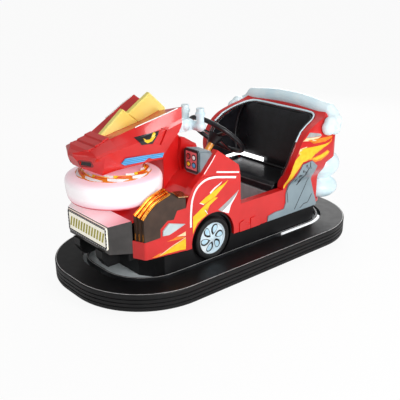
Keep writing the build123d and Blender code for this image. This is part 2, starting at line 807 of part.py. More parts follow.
def steering_bridge():
    """Hat-shaped bracket over the drive that holds the kingpin's bush."""
    outside, t = 182, 8
    low, high = deck_top + GAP, crown_high + 34
    profile = [
        (-outside - 26, low), (-outside, low), (-outside + t, low), (-outside + t, high - t), (outside - t, high - t),
        (outside - t, low), (outside + 26, low), (outside + 26, low + t), (outside, low + t), (outside, high),
        (-outside, high), (-outside, low + t), (-outside - 26, low + t),
    ]
    face = make_face(Polyline(*[(0, y, z) for y, z in profile], close=True))
    part = extrude(Pos(drive_x - 35, 0, 0) * face, 70, dir=(1, 0, 0))
    bush_low, bush_high = crown_high + GAP, high + 14
    bush = axial(kingpin_radius + 12, bush_high - bush_low, (drive_x, 0, (bush_low + bush_high) / 2), "Z")
    return (part + bush) - axial(kingpin_radius + RUN, 300, (drive_x, 0, high), "Z")


def rear_wheel(sign):
    r, half, bore = rear_radius, rear_width / 2, rear_axle_radius + RUN
    profile = [
        (bore, -half), (24, -half), (28, -half + 10), (r - 26, -half + 8), (r - 20, -half), (r - 7, -half),
        (r, -half + 8), (r, half - 8), (r - 7, half), (r - 20, half), (r - 26, half - 8), (28, half - 10),
        (24, half), (bore, half),
    ]
    return wheel(profile, (rear_axle_x, sign * rear_wheel_y, rear_radius))


def rear_axle():
    """Cross bar held under the deck by a hanger each side of each wheel."""
    reach = rear_wheel_y + rear_width / 2 + 12
    part = axial(rear_axle_radius, 2 * reach + 8, (rear_axle_x, 0, rear_radius))
    for _, sign in SIDES:
        for y in (rear_wheel_y - rear_width / 2 - 16, rear_wheel_y + rear_width / 2 + 16):
            hanger = [
                (rear_axle_x - 34, deck_z - GAP), (rear_axle_x + 34, deck_z - GAP), (rear_axle_x + 16, 82),
                (rear_axle_x - 16, 82),
            ]
            part += on_side(slab(hanger, y - 4, y + 4), sign)
    return part


def battery():
    low = deck_top + GAP
    case = box((-540, -290), (-150, 150), (low, low + 190))
    return case + box((-530, -300), (-140, 140), (low + 189, low + 206))


# ---- All pieces ---------------------------------------------------------------------------------------
nodes = {
    "bumper_ring": bumper_ring(),
    "chassis_deck": chassis_deck(),
    "deck_hoop": deck_hoop(),
    "light_bars": light_bars(),
    "skirt": skirt(),
    "hood": hood(),
    "rear_tub": rear_tub(),
    "floor_pan": floor_pan(),
    "seat_box": seat_box(),
    "seat_cushion": seat_cushion(),
    "seat_back": seat_back(),
    "headlights": headlights(),
    "grille_box": grille_box(),
    "number_plate": number_plate(),
    "chin": chin(),
    "tow_feet": tow_feet(),
    "dragon_head": dragon_head(),
    "front_horn": horn(front_horn_line),
    "rear_horn": rear_horn(),
    "eyes": eyes(),
    "teeth": teeth(),
    "neck": neck(),
    "lamp_drum": lamp_drum(),
    "lamp_stand": lamp_stand(),
    "flame_wreath": flame_wreath(),
    "light_stacks": light_stacks(),
    "control_box": control_box(),
    "cloud_collar": cloud_collar(),
    "cloud_puffs": cloud_puffs(),
    "steering_wheel": steering_wheel(),
    "column_jacket": column_jacket(),
    "pedal": pedal(),
    "front_fork": front_fork(),
    "drive_wheel": drive_wheel(),
    "steering_bridge": steering_bridge(),
    "rear_axle": rear_axle(),
    "battery": battery(),
}
for side, sign in SIDES:
    nodes[f"body_side_{side}"] = body_side(sign)
    nodes[f"side_lining_{side}"] = side_lining(sign)
    nodes[f"cheek_{side}"] = cheek(sign)
    nodes[f"claw_{side}"] = claw(sign)
    nodes[f"machine_plate_{side}"] = machine_plate(sign)
    nodes[f"side_tyre_{side}"] = side_tyre(sign)
    nodes[f"side_rim_{side}"] = side_rim(sign)
    nodes[f"rear_wheel_{side}"] = rear_wheel(sign)

os.makedirs("parts", exist_ok=True)
for name, shape in nodes.items():
    export_step(shape, f"parts/{name}.step")
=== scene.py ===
import math

import bmesh
import bpy
from mathutils import Matrix, Vector
from mathutils.bvhtree import BVHTree


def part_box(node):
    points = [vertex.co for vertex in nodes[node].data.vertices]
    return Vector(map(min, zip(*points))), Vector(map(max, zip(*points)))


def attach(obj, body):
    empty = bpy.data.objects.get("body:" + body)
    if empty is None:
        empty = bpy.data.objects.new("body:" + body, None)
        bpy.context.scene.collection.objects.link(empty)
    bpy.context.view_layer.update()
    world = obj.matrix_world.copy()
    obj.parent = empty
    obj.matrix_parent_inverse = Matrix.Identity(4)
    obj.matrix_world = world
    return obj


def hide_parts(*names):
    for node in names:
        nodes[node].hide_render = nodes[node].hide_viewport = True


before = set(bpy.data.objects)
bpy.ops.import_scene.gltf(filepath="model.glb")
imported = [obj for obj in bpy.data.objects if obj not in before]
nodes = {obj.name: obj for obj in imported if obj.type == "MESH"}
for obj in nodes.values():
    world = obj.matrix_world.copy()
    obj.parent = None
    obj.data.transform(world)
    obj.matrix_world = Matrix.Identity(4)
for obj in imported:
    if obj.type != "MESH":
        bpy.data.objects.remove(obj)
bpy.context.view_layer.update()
SIDES = (("left", 1), ("right", -1))
MM = 0.001

# ---- Colours and nodes ---------------------------------------------------------------------------


def linear(code):
    """An sRGB hex colour as linear red, green, blue and alpha."""
    parts = [int(code[i : i + 2], 16) / 255 for i in (1, 3, 5)]
    return tuple(c / 12.92 if c <= 0.04045 else ((c + 0.055) / 1.055) ** 2.4 for c in parts) + (1.0,)


def add(tree, kind, settings=None, links=None):
    """Adds a node with its settings, which are properties or input values, and its links."""
    item = tree.nodes.new(kind)
    for key, value in (settings or {}).items():
        if isinstance(key, str) and hasattr(item, key):
            setattr(item, key, value)
        else:
            item.inputs[key].default_value = value
    for key, source in (links or {}).items():
        tree.links.new(source, item.inputs[key])
    return item


def surface(name, colour, roughness, **values):
    """A new material: its node tree, its shader and the point on the piece in metres."""
    material = bpy.data.materials.new(name)
    material.use_nodes = True
    tree = material.node_tree
    shader = tree.nodes["Principled BSDF"]
    shader.inputs["Base Color"].default_value = linear(colour)
    shader.inputs["Roughness"].default_value = roughness
    for key, value in values.items():
        shader.inputs[key.replace("_", " ")].default_value = value
    place = add(tree, "ShaderNodeTexCoord").outputs["Object"]
    return material, tree, shader, place


def grained(tree, shader, place, size, depth):
    """Bump of grains of that size and depth in millimetres."""
    grain = add(tree, "ShaderNodeTexNoise", {"Scale": 1000 / size, "Detail": 2.0}, {"Vector": place})
    bump = add(tree, "ShaderNodeBump", {"Distance": depth / 1000}, {"Height": grain.outputs["Fac"]})
    tree.links.new(bump.outputs["Normal"], shader.inputs["Normal"])


def set_stops(ramp, stops):
    """Gives a colour ramp's stops their places and sRGB colours."""
    for stop, (position, colour) in zip(ramp.color_ramp.elements, stops):
        stop.position, stop.color = position, linear(colour)


def mottled(tree, shader, place, size, dark, light):
    """Colour that drifts between two tones over patches of that size in millimetres."""
    patch = add(tree, "ShaderNodeTexNoise", {"Scale": 1000 / size, "Detail": 3.0}, {"Vector": place})
    ramp = add(tree, "ShaderNodeValToRGB", {}, {"Fac": patch.outputs["Fac"]})
    set_stops(ramp, ((0.35, dark), (0.65, light)))
    tree.links.new(ramp.outputs["Color"], shader.inputs["Base Color"])


def worn(tree, shader, place, size, smooth, rough):
    """Roughness that drifts between two values over patches of that size in millimetres."""
    patch = add(tree, "ShaderNodeTexNoise", {"Scale": 1000 / size, "Detail": 1.0}, {"Vector": place})
    span = add(
        tree, "ShaderNodeMapRange", {"From Min": 0.2, "From Max": 0.8, "To Min": smooth, "To Max": rough},
        {"Value": patch.outputs["Fac"]},
    )
    tree.links.new(span.outputs["Result"], shader.inputs["Roughness"])


# ---- Materials -----------------------------------------------------------------------------------


def gelcoat(name, dark, light, glow=0.0):
    """Moulding in polished polyester gelcoat: a wet gloss, faintly wavy every 9 mm, with patches
    of haze 110 mm wide. The waves are 0.1 mm deep, deeper than real ones, so that they show.
    Glow is painted light: it makes a pale moulding shine though no lamp is inside it."""
    material, tree, shader, place = surface(
        name, light, 0.3, IOR=1.5, Coat_Weight=0.35, Coat_Roughness=0.08,
    )
    mottled(tree, shader, place, 160, dark, light)
    worn(tree, shader, place, 110, 0.29, 0.33)
    grained(tree, shader, place, 9, 0.1)
    shader.inputs["Emission Color"].default_value = linear(light)
    shader.inputs["Emission Strength"].default_value = glow
    return material


def moulded(name, dark, light, roughness, grain=3, depth=0.12, shine=0.5):
    """Moulded, powder-coated or skinned surface: a broad soft gloss over a fine grain. Real grain
    is under 1 mm; it is drawn 2.5 to 5 mm coarse so that it shows. Shine scales how much the
    surface mirrors, and below 0.5 it is duller than plain plastic."""
    material, tree, shader, place = surface(
        name, light, roughness, IOR=1.48, Specular_IOR_Level=shine,
    )
    mottled(tree, shader, place, 60, dark, light)
    worn(tree, shader, place, 40, roughness - 0.03, roughness + 0.04)
    grained(tree, shader, place, grain, depth)
    return material


def printed_film(name, dark, light, glow=0.0):
    """Printed vinyl film under gloss laminate: flat even colour, the ink a little uneven over
    25 mm, with no grain. Glow is painted light: it makes a sheet shine though no lamp is behind it."""
    material, tree, shader, place = surface(name, light, 0.3, IOR=1.46)
    mottled(tree, shader, place, 25, dark, light)
    worn(tree, shader, place, 30, 0.29, 0.32)
    shader.inputs["Emission Color"].default_value = linear(light)
    shader.inputs["Emission Strength"].default_value = glow
    return material


def plated(name, dark, light, roughness):
    """Vacuum-plated plastic: a tinted mirror, blurred by its roughness and a 14 mm waviness."""
    material, tree, shader, place = surface(name, light, roughness, Metallic=1.0)
    mottled(tree, shader, place, 30, dark, light)
    grained(tree, shader, place, 14, 0.2)
    return material


def ramped(name, colours, low, high, axis, roughness, **values):
    """Colour that fades along an axis: stops of share and colour between two places in metres."""
    material, tree, shader, place = surface(name, colours[0][1], roughness, **values)
    height = add(tree, "ShaderNodeSeparateXYZ", {}, {"Vector": place}).outputs[axis]
    level = add(
        tree, "ShaderNodeMapRange", {"From Min": low, "From Max": high, "To Min": 0.0, "To Max": 1.0},
        {"Value": height},
    ).outputs["Result"]
    ramp = add(tree, "ShaderNodeValToRGB", {}, {"Fac": level})
    ramp.color_ramp.elements.remove(ramp.color_ramp.elements[1])
    for position, _ in colours[1:]:
        ramp.color_ramp.elements.new(position)
    set_stops(ramp, colours)
    tree.links.new(ramp.outputs["Color"], shader.inputs["Base Color"])
    return material, tree, shader, ramp


# Body mouldings: a deep colour under a clear wet gloss.
RED = gelcoat("gelcoat_polished_red", "#d01413", "#dd1c1b")
DARK_RED = gelcoat("gelcoat_polished_dark_red", "#7a0f10", "#8c1414")
# Painted light: the pale blue mouldings glow, though no lamp is inside them.
PALE_BLUE = gelcoat("gelcoat_polished_pale_blue", "#cfeaf4", "#e6f7fc", glow=0.1)
YELLOW = gelcoat("gelcoat_polished_yellow", "#fee673", "#fff08c")
# Bumper and skirt: near black and dull, and a pale line that paints the highlight along the bumper's and
# hoop's top edges.
BUMPER = moulded("rubber_moulded_black", "#111112", "#151516", 0.42, grain=4, depth=0.06, shine=0.28)
EDGE_PAINTED_HIGHLIGHT = moulded("rubber_moulded_painted_edge_highlight", "#b4b4b4", "#d4d4d4", 0.45)
SKIRT = moulded("polyethylene_moulded_black", "#0e0e0f", "#131315", 0.45, shine=0.3)
# Coated steel: flat grey or black with an orange-peel grain.
DECK = moulded("steel_powder_coated_grey", "#d2dcdf", "#e2eaec", 0.45, grain=2.5)
FRAME_STEEL = moulded("steel_powder_coated_black", "#17181a", "#222326", 0.4, grain=2.5)
# Floor, nose, side plates and claws: a matt sheet, satin paint and a grey gloss.
FLOOR_MAT = moulded("rubber_sheet_grey", "#bcc2c4", "#ccd2d4", 0.6)
NOSE = moulded("abs_painted_graphite", "#3c3a39", "#474443", 0.3)
GREY = gelcoat("gelcoat_polished_grey", "#7f929b", "#8da0a9")
BRONZE = moulded("abs_metallic_painted_bronze", "#3a281d", "#4a3427", 0.35, grain=5, depth=0.08)
# Plated trims: warm tinted mirrors.
GOLD = plated("abs_vacuum_plated_gold", "#e87a1a", "#ffb650", 0.16)
BRASS = plated("abs_vacuum_plated_pale_gold", "#f0b878", "#ffdca8", 0.25)
# Headlights, number plate and eyes: glossy, pale or black.
LENS_GREY = gelcoat("acrylic_moulded_silver_grey", "#a8bcc4", "#cddbde")
# Painted light: the number plate glows, though no lamp is behind it.
PLATE_WHITE = printed_film("acrylic_sheet_cream", "#f8f2dc", "#fffcee", glow=0.3)
EYE_BLACK = gelcoat("enamel_sprayed_black", "#0c0a0c", "#1a1416")
# Cockpit and wheels: painted steel, dull tyres, a smooth grip and soft grained leathercloth.
CASE_GREY = moulded("steel_stoved_grey", "#7e8b92", "#8d9aa1", 0.4, grain=2.5)
TYRE = moulded("rubber_tyre_black", "#121213", "#1b1b1c", 0.5)
GRIP = moulded("polyurethane_skinned_black", "#101114", "#1d1e22", 0.35)
ORANGE_STEEL = gelcoat("steel_enamelled_orange", "#e8952a", "#f7ae3c")
CASE_BLACK = moulded("polypropylene_moulded_charcoal", "#242426", "#303033", 0.5)
VINYL = moulded("vinyl_leathercloth_black", "#0f0f12", "#1a1a1f", 0.3, grain=5, depth=0.4)
# The piping is real, and its grey is a painted highlight along the cushion's front edge.
PIPING_AND_HIGHLIGHT = moulded("vinyl_piping_grey_painted_highlight", "#4a4648", "#5c5859", 0.4)
RIM = gelcoat("abs_painted_pale_blue", "#cfe6f2", "#f4fafc")
# Films stuck on the body, and the panel's printed face: flat even colours.
WHITE_FILM = printed_film("vinyl_film_white", "#f4f2f2", "#ffffff")
YELLOW_FILM = printed_film("vinyl_film_yellow", "#fbc516", "#ffd42a")
ORANGE_FILM = printed_film("vinyl_film_orange", "#f0811e", "#f99a30")
FLAME_RED = printed_film("vinyl_film_flame_red", "#e04416", "#f05a22")
CREAM_FILM = printed_film("vinyl_film_cream", "#f8dda6", "#fdeac4")
WINDOW_FILM = printed_film("vinyl_film_pale_blue", "#b4dcf0", "#d4eefa")
GREY_FILM = printed_film("vinyl_film_grey", "#a6a3a4", "#b9b7b8")
BLACK_FILM = printed_film("vinyl_film_black", "#141416", "#222226")
OLIVE_FILM = printed_film("vinyl_film_olive_gold", "#b4ac38", "#c8c04c")
PINK_FILM = printed_film("polycarbonate_film_pink", "#e05a64", "#f07a80")
# Button caps: bright glossy acrylic.
BLUE_CAP = gelcoat("acrylic_button_blue", "#3a9bd8", "#54b4ec")
RED_CAP = gelcoat("acrylic_button_red", "#b81c22", "#d43038")
WHITE_CAP = gelcoat("acrylic_button_white", "#eceaea", "#ffffff")


def ridged_blue():
    """Polished blue gelcoat over teeth moulded as level ridges, with painted shade darkening their
    hollows.
    """
    ridge = 0.009  # from one ridge to the next, in metres
    wave_length = 0.314  # of the wave texture at scale 1, in metres
    material, tree, shader, place = surface(
        "gelcoat_ridged_blue", "#3fb0ee", 0.3, IOR=1.5, Coat_Weight=0.35,
    )
    wave = add(
        tree, "ShaderNodeTexWave",
        {"bands_direction": "Z", "Scale": wave_length / ridge, "Distortion": 0.0}, {"Vector": place},
    )
    # Painted shade: the ramp darkens the hollows between the ridges.
    ramp = add(tree, "ShaderNodeValToRGB", {}, {"Fac": wave.outputs["Fac"]})
    set_stops(ramp, ((0.1, "#1a6cb8"), (0.6, "#4ab8f4")))
    tree.links.new(ramp.outputs["Color"], shader.inputs["Base Color"])
    bump = add(tree, "ShaderNodeBump", {"Distance": 0.0015}, {"Height": wave.outputs["Fac"]})
    tree.links.new(bump.outputs["Normal"], shader.inputs["Normal"])
    return material


def lamp():
    """Opal acrylic drum lit from inside: white where it is deepest and pink towards its rims."""
    low, high = (corner.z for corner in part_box("lamp_drum"))
    colours = (
        (0.0, "#f2a2b2"), (0.1, "#fbd0da"), (0.3, "#fff4f7"),
        (0.62, "#fffafc"), (0.86, "#fde3ec"), (1.0, "#f8c6d6"),
    )
    material, tree, shader, ramp = ramped(
        "acrylic_opal_lit", colours, low, high, "Z", 0.15, IOR=1.49, Coat_Weight=0.3,
    )
    tree.links.new(ramp.outputs["Color"], shader.inputs["Emission Color"])
    shader.inputs["Emission Strength"].default_value = 0.3
    return material


def lid():
    """White gelcoat lid over the nose, white to pink towards the car's left, and glowing: painted light
    from the lamp above.
    """
    low, high = (corner.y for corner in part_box("grille_box"))
    colours = ((0.0, "#ffffff"), (0.66, "#fffdfd"), (0.84, "#f6ccd2"), (1.0, "#e08890"))
    material, tree, shader, ramp = ramped(
        "gelcoat_white_to_pink_painted_lamp_light", colours, low, high, "Y", 0.22, IOR=1.5, Coat_Weight=0.4,
    )
    # Painted light: the lid glows in its white to pink, which stands for the lamp's light on it.
    tree.links.new(ramp.outputs["Color"], shader.inputs["Emission Color"])
    shader.inputs["Emission Strength"].default_value = 0.22
    return material


def strip_light_and_painted_highlight(name, strength):
    """Even white glow, faintly clouded over 30 mm: on the bars an opal acrylic strip with light-emitting
    diodes behind it, and at the seat's foot a painted highlight with no lamp in it.
    """
    material, tree, shader, place = surface(name, "#f4f8ff", 0.3, IOR=1.49)
    mottled(tree, shader, place, 30, "#e6eef8", "#ffffff")
    shader.inputs["Emission Color"].default_value = linear("#ffffff")
    shader.inputs["Emission Strength"].default_value = strength
    return material


TEETH = ridged_blue()
LAMP = lamp()
LID = lid()
STRIP = strip_light_and_painted_highlight("acrylic_opal_strip", 0.45)
# Painted highlight: a glowing strip at the seat back's foot, with no lamp in it.
FOOT_PAINTED_HIGHLIGHT = strip_light_and_painted_highlight("painted_highlight_glowing_white", 1.6)

finishes = {
    "bumper_ring": BUMPER, "chassis_deck": DECK, "deck_hoop": FRAME_STEEL, "light_bars": STRIP,
    "skirt": SKIRT, "hood": RED, "rear_tub": RED, "floor_pan": FLOOR_MAT, "seat_box": FLOOR_MAT,
    "seat_cushion": VINYL, "seat_back": VINYL, "headlights": LENS_GREY, "grille_box": NOSE,
    "number_plate": PLATE_WHITE, "chin": SKIRT, "tow_feet": SKIRT, "dragon_head": RED,
    "front_horn": YELLOW, "rear_horn": YELLOW, "eyes": EYE_BLACK, "teeth": TEETH, "neck": RED,
    "lamp_drum": LAMP, "lamp_stand": NOSE, "flame_wreath": ORANGE_FILM, "light_stacks": PALE_BLUE,
    "control_box": CASE_GREY, "cloud_collar": PALE_BLUE, "cloud_puffs": PALE_BLUE,
    "steering_wheel": GRIP, "column_jacket": ORANGE_STEEL, "pedal": FRAME_STEEL,
    "front_fork": FRAME_STEEL, "drive_wheel": TYRE, "steering_bridge": FRAME_STEEL,
    "rear_axle": FRAME_STEEL, "battery": CASE_BLACK,
}
for side, _ in SIDES:
    finishes.update({
        f"body_side_{side}": RED, f"side_lining_{side}": VINYL, f"cheek_{side}": RED,
        f"claw_{side}": BRONZE, f"machine_plate_{side}": GREY, f"side_tyre_{side}": TYRE,
        f"side_rim_{side}": RIM, f"rear_wheel_{side}": TYRE,
    })
for name, material in finishes.items():
    nodes[name].data.materials.clear()
    nodes[name].data.materials.append(material)

# ---- Mesh helpers --------------------------------------------------------------------------------


def tree_of(item):
    """Search tree over a piece's faces, to send rays at."""
    form = bmesh.new()
    form.from_mesh(item.data)
    tree = BVHTree.FromBMesh(form)
    form.free()
    return tree


def piece(name, form, material, angle=40):
    """Mesh data as a piece of the body, shaded smooth up to that angle between faces."""
    bmesh.ops.recalc_face_normals(form, faces=form.faces[:])
    mesh = bpy.data.meshes.new(name)
    form.to_mesh(mesh)
    form.free()
    mesh.materials.append(material)
    mesh.shade_smooth()
    mesh.set_sharp_from_angle(angle=math.radians(angle))
    item = bpy.data.objects.new(name, mesh)
    bpy.context.scene.collection.objects.link(item)
    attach(item, "chassis")
    return item


def smooth_line(points, steps=6):
    """Points of a smooth curve through the given ones."""
    ends = [points[0]] + list(points) + [points[-1]]
    line = []
    for a, b, c, d in zip(ends, ends[1:], ends[2:], ends[3:]):
        for step in range(steps):
            t = step / steps
            line.append(tuple(
                0.5 * (
                    2 * q + (r - p) * t + (2 * p - 5 * q + 4 * r - s) * t**2
                    + (3 * q - p - 3 * r + s) * t**3
                )
                for p, q, r, s in zip(a, b, c, d)
            ))
    return line + [points[-1]]


def stripe(points, width):
    """Outline of a line of that width through points of X and Z."""
    left, right = [], []
    for i, (x, z) in enumerate(points):
        before, after = points[max(i - 1, 0)], points[min(i + 1, len(points) - 1)]
        run = Vector((after[0] - before[0], after[1] - before[1])).normalized() * width / 2
        left.append((x - run.y, z + run.x))
        right.append((x + run.y, z - run.x))
    return left + right[::-1]


film_cell = 10  # the film is cut into cells of this size so that it can bend
film_gap, film_depth = 0.9, 1.4  # how far its face stands proud, and how thick it is
far_y, near_y = 0.9, 0.1  # metres out from the middle: where a ray starts, and the least for a hit


def film(name, outlines, host, material, sign):
    """Film cut to outlines of X and Z in millimetres and laid on the host's outer face."""
    tree = tree_of(host)
    form = bmesh.new()
    for outline in outlines:
        form.faces.new([form.verts.new((x * MM, 0, z * MM)) for x, z in outline])
    bmesh.ops.triangulate(form, faces=form.faces[:], ngon_method="EAR_CLIP")
    for axis, normal in ((0, (1, 0, 0)), (2, (0, 0, 1))):
        places = [vert.co[axis] for vert in form.verts]
        for count in range(1, math.ceil((max(places) - min(places)) / (film_cell * MM))):
            spot = [min(places) + count * film_cell * MM] * 3
            everything = form.verts[:] + form.edges[:] + form.faces[:]
            bmesh.ops.bisect_plane(form, geom=everything, plane_co=spot, plane_no=normal, dist=1e-6)
    missed = []
    for vert in form.verts:
        spot, normal, _, _ = tree.ray_cast((vert.co.x, sign * far_y, vert.co.z), (0, -sign, 0))
        if spot is None or spot.y * sign < near_y:
            missed.append(vert)
        else:
            vert.co = spot + normal * film_gap * MM * (1 if normal.y * sign > 0 else -1)
    bmesh.ops.delete(form, geom=missed, context="VERTS")
    grown = bmesh.ops.extrude_face_region(form, geom=form.faces[:])["geom"]
    under = [item for item in grown if isinstance(item, bmesh.types.BMVert)]
    bmesh.ops.translate(form, vec=(0, -film_depth * MM * sign, 0), verts=under)
    return piece(name, form, material)


def rod(name, points, section, material, up=(0, 0, 1), closed=False, angle=40):
    """Bar of that section, pairs of across and up, along points; all in millimetres."""
    form = bmesh.new()
    path = [Vector(point) * MM for point in points]
    rings = []
    for i, spot in enumerate(path):
        before = path[i - 1] if i or closed else spot
        after = path[(i + 1) % len(path)] if closed or i + 1 < len(path) else spot
        run = (after - before).normalized()
        across = run.cross(Vector(up)).normalized()
        rise = across.cross(run)
        rings.append([form.verts.new(spot + (across * a + rise * b) * MM) for a, b in section])
    pairs = list(zip(rings, rings[1:])) + ([(rings[-1], rings[0])] if closed else [])
    for one, two in pairs:
        for i in range(len(section)):
            j = (i + 1) % len(section)
            form.faces.new((one[i], one[j], two[j], two[i]))
    if not closed:
        form.faces.new(rings[0])
        form.faces.new(rings[-1])
    return piece(name, form, material, angle)


def round_section(radius, sides=12):
    """Section of a round bar."""
    turns = [2 * math.pi * i / sides for i in range(sides)]
    return [(radius * math.cos(turn), radius * math.sin(turn)) for turn in turns]


def flat_section(width, height):
    """Section of a low bar with a crowned top, standing on its path."""
    half = width / 2
    return [
        (-half, -0.5), (half, -0.5), (half, 0.5 * height), (0.8 * half, 0.9 * height), (0, height),
        (-0.8 * half, 0.9 * height), (-half, 0.5 * height),
    ]


def turned(name, profile, centre, axis, material, steps=96, angle=35):
    """Piece turned about an axis through a centre, from pairs of radius and height in millimetres."""
    form = bmesh.new()
    lean = Vector(axis).to_track_quat("Z", "X").to_matrix().to_4x4()
    place = Matrix.Translation(Vector(centre) * MM) @ lean
    rings = []
    for i in range(steps):
        turn = 2 * math.pi * i / steps
        rings.append([
            form.verts.new(place @ Vector((r * math.cos(turn) * MM, r * math.sin(turn) * MM, h * MM)))
            for r, h in profile
        ])
    for i, ring in enumerate(rings):
        other = rings[(i + 1) % steps]
        for j in range(len(profile) - 1):
            form.faces.new((ring[j], ring[j + 1], other[j + 1], other[j]))
    bmesh.ops.remove_doubles(form, verts=form.verts[:], dist=1e-6)
    return piece(name, form, material, angle)


def plate(name, corners, rise, material, bevel=1.0):
    """Flat plate from its corners, with that rise as a vector, and softened edges; all in millimetres."""
    form = bmesh.new()
    face = form.faces.new([form.verts.new(Vector(corner) * MM) for corner in corners])
    grown = bmesh.ops.extrude_face_region(form, geom=[face])["geom"]
    upper = [item for item in grown if isinstance(item, bmesh.types.BMVert)]
    bmesh.ops.translate(form, vec=Vector(rise) * MM, verts=upper)
    bmesh.ops.bevel(form, geom=form.edges[:], offset=bevel * MM, segments=2, affect="EDGES")
    return piece(name, form, material)


def rounded(width, height, radius, steps=6):
    """Corner points of a rectangle with rounded corners, round the origin."""
    points = []
    for corner, (sx, sy) in enumerate(((1, 1), (-1, 1), (-1, -1), (1, -1))):
        for i in range(steps + 1):
            turn = math.pi / 2 * (corner + i / steps)
            x = sx * (width / 2 - radius) + radius * math.cos(turn)
            y = sy * (height / 2 - radius) + radius * math.sin(turn)
            points.append((x, y))
    return points


# ---- Printed films on the sides ------------------------------------------------------------------
# Outlines are pairs of X and Z in millimetres.
body_side_y = 330  # the body sides' outer face
arch_line = [
    (423, 388), (422, 452), (415, 521), (406, 553), (390, 584), (364, 609), (327, 627), (288, 633),
    (244, 629), (199, 620), (99, 598),
]
upper_line = [(238, 655), (70, 619)]
cowl_line = [(234, 768), (265, 725), (324, 662)]
bolt_upper = [
    (158, 594), (193, 578), (222, 571), (252, 559), (288, 544), (319, 532), (361, 510), (332, 496),
    (312, 502), (279, 512), (248, 522), (216, 547), (189, 565),
]
bolt_lower = [
    (233, 511), (257, 517), (288, 505), (310, 498), (332, 486), (367, 466), (407, 444), (409, 345),
    (399, 368), (377, 400), (350, 416), (319, 428), (306, 434), (324, 462), (319, 464), (288, 482),
    (257, 499),
]
bolt_streak = [(201, 596), (216, 584), (252, 566), (286, 544), (290, 553), (257, 574), (225, 586)]
bolt_edges = [[(361, 510), (332, 496)], [(324, 462), (306, 436)]]
spike_dark = [(75, 519), (151, 477), (229, 438), (201, 421), (141, 456), (104, 487)]
spike_light = [(75, 519), (104, 487), (141, 456), (201, 421), (178, 412), (134, 443), (103, 480)]
spike_flank = [(178, 410), (150, 399), (134, 443)]
streak_lift = 0.6  # of the white film over the yellow one


def fender_films(side, sign):
    """White lines, a yellow bolt with white streaks, and a grey spike on the body side."""
    host, red = nodes[f"body_side_{side}"], "red_gelcoat"
    film(f"fender_line_{side}", [stripe(smooth_line(arch_line, 5), 12)], host, WHITE_FILM, sign)
    film(f"fender_upper_line_{side}", [stripe(upper_line, 9)], host, WHITE_FILM, sign)
    film(f"cowl_line_{side}", [stripe(cowl_line, 5)], host, WHITE_FILM, sign)
    film(f"fender_bolt_{side}", [bolt_upper, bolt_lower], host, YELLOW_FILM, sign)
    streaks = [bolt_streak] + [stripe(edge, 4) for edge in bolt_edges]
    upper_film = film(f"fender_bolt_streaks_{side}", streaks, host, WHITE_FILM, sign)
    upper_film.location.y += sign * streak_lift * MM
    film(f"fender_spike_{side}", [spike_dark], host, GREY_FILM, sign)
    film(f"fender_spike_light_{side}", [spike_light, spike_flank], host, WHITE_FILM, sign)


flame_grey = [(-439, 765), (-529, 745), (-536, 732), (-475, 735), (-400, 742)]
flame_cream = [
    (-369, 727), (-400, 740), (-475, 733), (-532, 729), (-499, 722), (-460, 724), (-491, 711),
]
flame_orange = [
    (-410, 727), (-499, 720), (-564, 719), (-634, 716), (-622, 705), (-562, 694), (-458, 699),
    (-497, 708),
]
flame_yellow = [
    (-278, 423), (-281, 487), (-281, 547), (-291, 596), (-302, 627), (-330, 647), (-345, 659), (-329, 662),
    (-332, 672), (-341, 685), (-388, 685), (-477, 679), (-562, 678), (-608, 684), (-576, 666), (-524, 649),
    (-475, 632), (-420, 616), (-441, 607), (-375, 603), (-367, 596), (-327, 535), (-316, 480), (-297, 440),
]
flame_tail = [
    (-629, 704), (-622, 685), (-589, 668), (-525, 652), (-450, 626), (-474, 638), (-563, 668), (-608, 688),
]
flame_tongue = [
    (-395, 610), (-452, 614), (-529, 621), (-589, 639), (-612, 623), (-599, 607), (-546, 581), (-488, 579),
    (-455, 600),
]
flame_streak = [(-455, 606), (-529, 618), (-590, 632), (-604, 620), (-560, 600), (-500, 592)]
flame_edge = [(-345, 659), (-329, 662), (-332, 672), (-341, 686), (-400, 690)]
flame_streak_lift = 0.9  # of the yellow streak over the orange tongue


def quarter_films(side, sign):
    """Flames that sweep back over the rear quarter, laid edge to edge."""
    host, red = nodes["rear_tub"], "red_gelcoat"
    film(f"quarter_facet_{side}", [flame_grey], host, GREY_FILM, sign)
    film(f"quarter_flame_cream_{side}", [flame_cream, stripe(flame_edge, 4)], host, CREAM_FILM, sign)
    tongues = [flame_orange, flame_tail, flame_tongue]
    film(f"quarter_flame_orange_{side}", tongues, host, ORANGE_FILM, sign)
    film(f"quarter_flame_yellow_{side}", [flame_yellow], host, YELLOW_FILM, sign)
    upper_film = film(f"quarter_flame_streak_{side}", [flame_streak], host, YELLOW_FILM, sign)
    upper_film.location.y = sign * flame_streak_lift * MM


dash_row = [(-411, 571), (-393, 541), (-377, 512), (-368, 480)]
zigzag = [(-436, 592), (-444, 563), (-423, 529), (-417, 499), (-422, 459), (-400, 440)]
panel_lines = [
    [(-502, 467), (-486, 429), (-393, 284)], [(-548, 350), (-514, 303)],
    [(-511, 302), (-474, 301), (-471, 297), (-442, 281)], [(-330, 345), (-318, 420), (-345, 500)],
]


def plate_lines(side, sign):
    """Dark joints and slots on the grey side plate."""
    dashes = [stripe([(x - 4, z - 9), (x + 4, z + 9)], 8) for x, z in dash_row]
    joints = [stripe(line, 4) for line in panel_lines] + [stripe(zigzag, 6)]
    host = nodes[f"machine_plate_{side}"]
    film(f"side_plate_joints_{side}", dashes + joints, host, BLACK_FILM, sign)


cheek_yellow = [(459, 336), (460, 273), (499, 279), (583, 285), (635, 285), (592, 300), (546, 314)]
cheek_border = [(460, 340), (548, 318), (636, 288)]
cheek_band = [(635, 285), (658, 286), (683, 291), (644, 299), (621, 303)]
cheek_orange = [(518, 362), (459, 345), (498, 342), (545, 348), (584, 353), (544, 356)]
cheek_cream = [(459, 375), (459, 351), (518, 363)]


